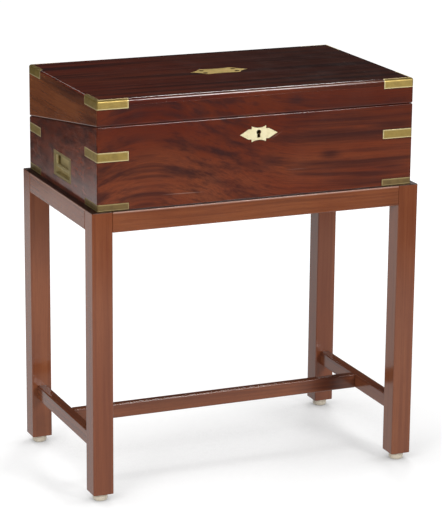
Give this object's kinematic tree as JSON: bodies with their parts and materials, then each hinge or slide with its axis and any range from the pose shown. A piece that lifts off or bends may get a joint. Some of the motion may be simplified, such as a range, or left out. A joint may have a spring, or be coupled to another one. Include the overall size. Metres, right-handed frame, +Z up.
{
  "type": "lap desk",
  "caption": "Brass-bound mahogany lap desk with a sloping hinged lid, sunk end handles, a box lock and a fitted pen tray, resting on a square-legged stand with an H stretcher.",
  "frame": {"origin": "on the floor, under the middle of the stand's footprint", "axes": "+Z up, the lock side faces -Y, +X to the right seen from the lock side"},
  "size_m": [0.528, 0.3146, 0.6098],
  "materials": {
    "mahogany_desk": "french polished mahogany",
    "mahogany_stand": "polished mahogany",
    "brass": "aged polished brass",
    "lock_steel": "filed steel",
    "leather": "green skiver leather",
    "glass": "cut clear glass",
    "glide_plastic": "cream nylon"
  },
  "bodies": {
    "stand": {"leg_front_left": "mahogany_stand", "leg_front_right": "mahogany_stand", "leg_rear_left": "mahogany_stand", "leg_rear_right": "mahogany_stand", "rail_front": "mahogany_stand", "rail_left": "mahogany_stand", "rail_rear": "mahogany_stand", "rail_right": "mahogany_stand", "stretcher_centre": "mahogany_stand", "stretcher_left": "mahogany_stand", "stretcher_right": "mahogany_stand", "glide_front_left": "glide_plastic", "glide_front_right": "glide_plastic", "glide_rear_left": "glide_plastic", "glide_rear_right": "glide_plastic"},
    "desk": {"base_bottom": "mahogany_desk", "base_flap": "mahogany_desk", "base_front": "mahogany_desk", "base_leather": "leather", "base_left_end": "mahogany_desk", "base_rear": "mahogany_desk", "base_right_end": "mahogany_desk", "escutcheon": "brass", "lock_case": "brass", "pen_partition": "mahogany_desk", "pen_tray": "mahogany_desk", "inkwell_left": "glass", "inkwell_right": "glass", "foot_corner_front_left": "brass", "foot_corner_front_right": "brass", "foot_corner_rear_left": "brass", "foot_corner_rear_right": "brass", "side_strap_front_left": "brass", "side_strap_front_right": "brass", "side_strap_rear_left": "brass", "side_strap_rear_right": "brass", "handle_plate_left": "brass", "handle_plate_right": "brass", "hinge_base_leaf_left": "brass", "hinge_base_leaf_right": "brass"},
    "lid": {"lid_top": "mahogany_desk", "lid_front": "mahogany_desk", "lid_rear": "mahogany_desk", "lid_left_end": "mahogany_desk", "lid_right_end": "mahogany_desk", "lid_flap": "mahogany_desk", "lid_leather": "leather", "lid_cartouche": "brass", "lid_corner_front_left": "brass", "lid_corner_front_right": "brass", "lid_corner_rear_left": "brass", "lid_corner_rear_right": "brass", "hinge_lid_leaf_left": "brass", "hinge_lid_leaf_right": "brass", "link_plate": "brass"},
    "bail_left": {"handle_bail_left": "brass"},
    "bail_right": {"handle_bail_right": "brass"},
    "bolt": {"lock_bolt": "lock_steel"},
    "cap_left": {"inkwell_cap_left": "brass"},
    "cap_right": {"inkwell_cap_right": "brass"}
  },
  "joints": [
    {"name": "desk_lift", "type": "slide", "parent": "stand", "child": "desk", "axis": [0, 0, 1], "range_m": [0, 0.12]},
    {"name": "lid_hinge", "type": "hinge", "parent": "desk", "child": "lid", "pos_m": [0, 0.15365, 0.52855], "axis": [-1, 0, 0], "range_deg": [0, 180]},
    {"name": "bail_left_swing", "type": "hinge", "parent": "desk", "child": "bail_left", "pos_m": [-0.2513, 0.00075, 0.4918], "axis": [0, 1, 0], "range_deg": [0, 90]},
    {"name": "bail_right_swing", "type": "hinge", "parent": "desk", "child": "bail_right", "pos_m": [0.2513, 0.00075, 0.4918], "axis": [0, -1, 0], "range_deg": [0, 90]},
    {"name": "bolt_slide", "type": "slide", "parent": "desk", "child": "bolt", "axis": [1, 0, 0], "range_m": [0, 0.005]},
    {"name": "cap_left_turn", "type": "hinge", "parent": "desk", "child": "cap_left", "pos_m": [-0.213, -0.11075, 0.5484], "axis": [0, 0, 1], "continuous": true},
    {"name": "cap_right_turn", "type": "hinge", "parent": "desk", "child": "cap_right", "pos_m": [0.213, -0.11075, 0.5484], "axis": [0, 0, 1], "continuous": true}
  ]
}
